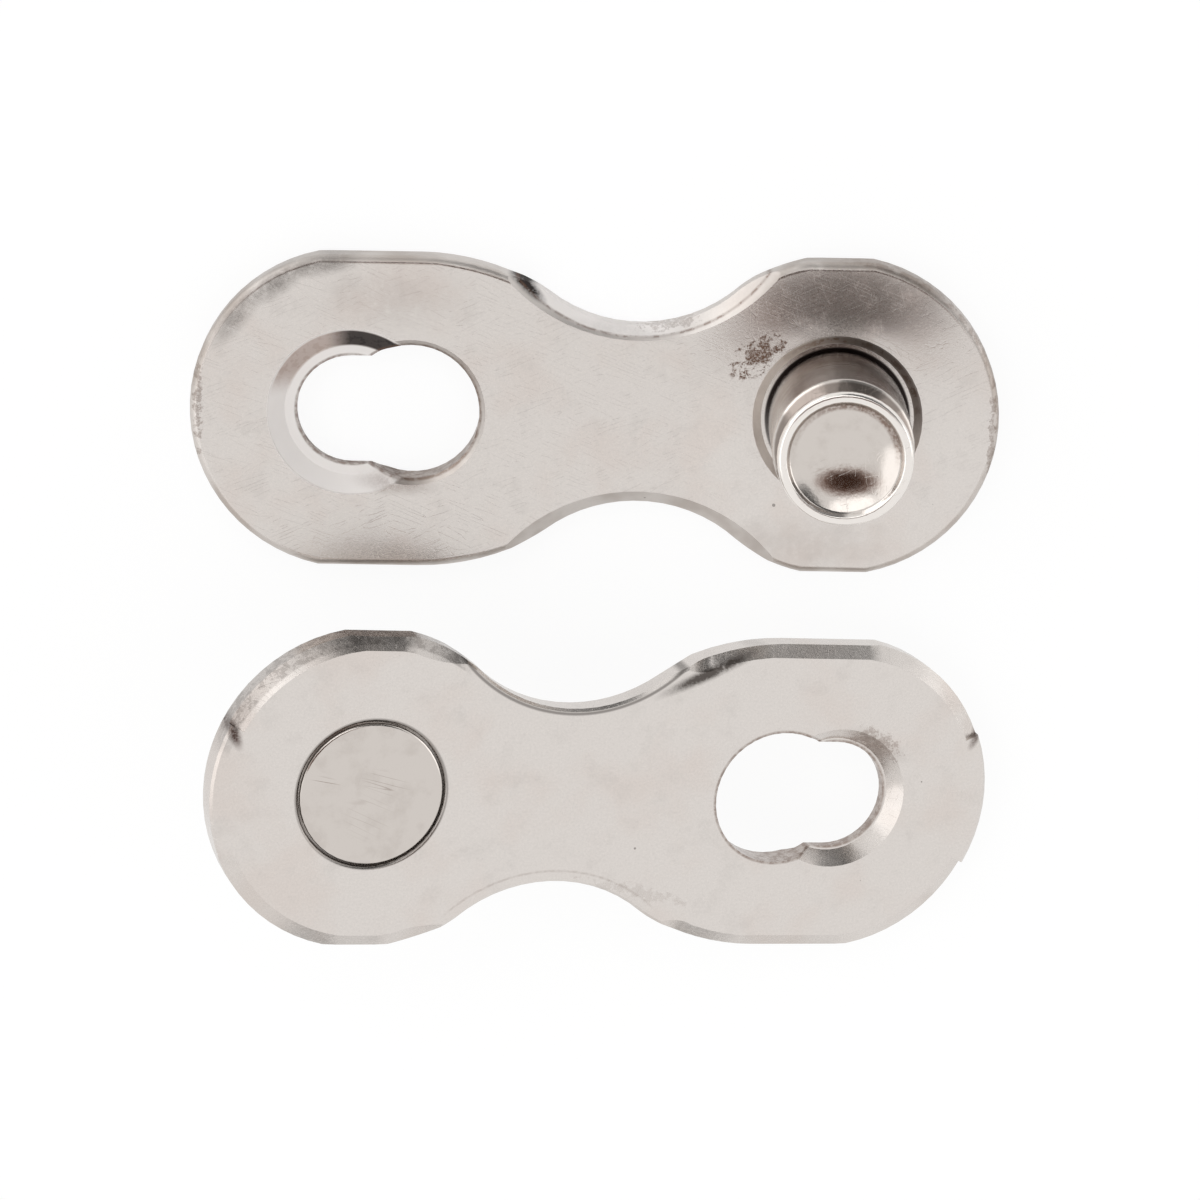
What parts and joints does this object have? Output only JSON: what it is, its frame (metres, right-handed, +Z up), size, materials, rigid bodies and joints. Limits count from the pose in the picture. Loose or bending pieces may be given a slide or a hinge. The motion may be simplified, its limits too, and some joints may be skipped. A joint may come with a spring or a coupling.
{
  "type": "chain connecting link",
  "caption": "Two-part connecting link for a bicycle roller chain: stamped outer plates, each with a riveted pin at one end and a keyhole at the other, laid apart.",
  "frame": {"origin": "centre of the bounding box of the two halves, on the surface that they lie on", "axes": "+X along the plates, towards the upper half's pin; +Y from the lower half to the upper one; +Z up"},
  "size_m": [0.0212, 0.0182, 0.0072],
  "materials": {
    "plate_steel": "nickel-plated stamped steel, satin with bright coined edges",
    "pin_steel": "nickel-plated turned steel, brighter and smoother than the plate"
  },
  "bodies": {
    "root": {"upper_plate": "plate_steel", "upper_pin": "pin_steel", "lower_plate": "plate_steel", "lower_pin": "pin_steel"}
  },
  "joints": []
}
